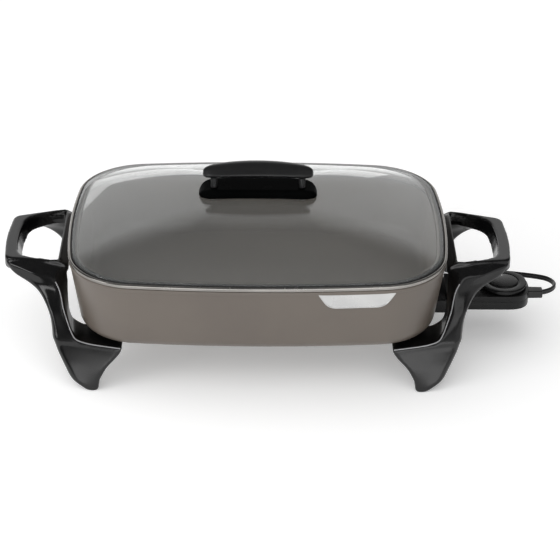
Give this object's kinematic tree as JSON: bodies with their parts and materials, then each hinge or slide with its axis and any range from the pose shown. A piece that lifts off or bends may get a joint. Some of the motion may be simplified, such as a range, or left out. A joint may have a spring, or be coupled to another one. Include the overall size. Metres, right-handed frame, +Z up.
{
  "type": "electric skillet",
  "caption": "Rectangular electric skillet on handle-and-leg frames, with a domed glass lid that lifts off, a plug-in heat control with a dial, and its cord.",
  "frame": {"origin": "on the table, below the middle of the object between the left grip bar and the end of the strain relief, cord and plug left out", "axes": "+X from the left handle to the heat control, -Y towards the cook, +Z up"},
  "size_m": [0.6099, 0.412, 0.206],
  "materials": {
    "pan_coating": "satin warm grey coating on cast aluminium",
    "phenolic": "black moulded phenolic, satin gloss",
    "knob_black": "black moulded phenolic, glossy",
    "control_black": "black moulded plastic, satin",
    "cord_black": "black flexible PVC, satin",
    "seal": "dark silicone",
    "steel": "polished stainless steel",
    "zinc": "zinc-plated steel",
    "nickel": "nickel-plated steel",
    "element_sheath": "dull heat-toned aluminium",
    "brass": "plain brass",
    "ceramic": "unglazed ceramic",
    "lens": "translucent amber plastic",
    "glass": "clear tempered glass"
  },
  "bodies": {
    "skillet": {"pan": "pan_coating", "left_handle_frame": "phenolic", "right_handle_frame": "phenolic", "frame_screws": "zinc", "heating_element": "element_sheath", "terminal_pins": "nickel", "pin_insulators": "ceramic", "probe_well": "element_sheath", "terminal_guard": "phenolic", "guard_screws": "zinc"},
    "lid": {"lid_glass": "glass", "lid_rim": "steel", "glass_seal": "seal", "knob_base": "knob_black", "knob_grip": "knob_black", "knob_screws": "zinc", "knob_grommets": "seal"},
    "heat_control": {"control_top": "control_black", "control_bottom": "control_black", "temperature_probe": "nickel", "terminal_sleeves": "brass", "thermostat_bracket": "zinc", "contact_blades": "brass", "pilot_lens": "lens", "control_screws": "zinc", "strain_relief": "cord_black", "cord": "cord_black", "cord_coil": "cord_black", "plug_body": "cord_black", "plug_blades": "brass"},
    "dial": {"dial": "control_black", "dial_shaft": "nickel"}
  },
  "joints": [
    {"name": "lid_lift", "type": "slide", "parent": "skillet", "child": "lid", "axis": [0, 0, 1], "range_m": [0, 0.18]},
    {"name": "control_pull", "type": "slide", "parent": "skillet", "child": "heat_control", "axis": [1, 0, 0], "range_m": [0, 0.12]},
    {"name": "dial_turn", "type": "hinge", "parent": "heat_control", "child": "dial", "pos_m": [0.2515, 0, 0.057], "axis": [0, 0, 1], "range_deg": [0, 270]}
  ]
}
